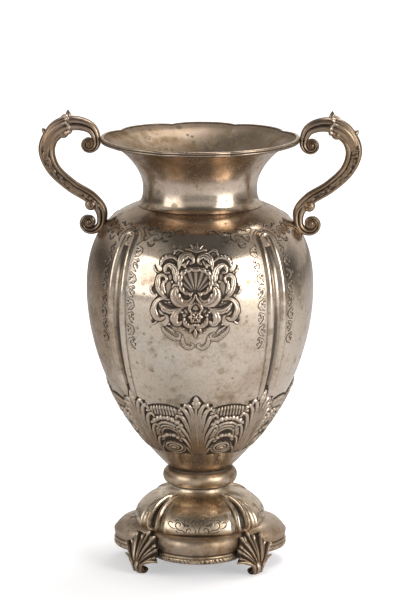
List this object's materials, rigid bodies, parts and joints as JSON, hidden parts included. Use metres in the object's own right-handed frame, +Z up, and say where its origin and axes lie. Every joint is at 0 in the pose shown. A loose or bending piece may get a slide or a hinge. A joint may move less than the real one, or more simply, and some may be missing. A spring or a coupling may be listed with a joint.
{
  "type": "silver vase",
  "caption": "Two-handled footed vase with a flared scalloped mouth, fluted oval body, leaf band, ring knop and lobed base on leaf feet.",
  "frame": {"origin": "centre of the footprint, on the plane that the four feet stand on", "axes": "+Z up; -Y is the front with its cartouche; the handles stand on the X axis"},
  "size_m": [0.3214, 0.232, 0.4594],
  "materials": {
    "body_silver": "polished sheet silver with warm tarnish and dark oxide in the chasing",
    "foot_silver": "polished sheet silver, browner tarnish in the hollows",
    "rim_silver": "reeded silver wire, bright on its edges",
    "cast_silver": "chased cast silver with dark recesses",
    "handle_silver": "cast silver with heavy brown tarnish, bright on its ridges"
  },
  "bodies": {
    "root": {"base_wire": "foot_silver", "base_border": "foot_silver", "foot_dome": "foot_silver", "leaf_foot_right_back": "cast_silver", "leaf_foot_left_back": "cast_silver", "leaf_foot_left_front": "cast_silver", "leaf_foot_right_front": "cast_silver", "knop_ring": "foot_silver", "bowl": "body_silver", "neck": "body_silver", "rim_moulding": "rim_silver", "handle_right": "handle_silver", "handle_left": "handle_silver"}
  },
  "joints": []
}
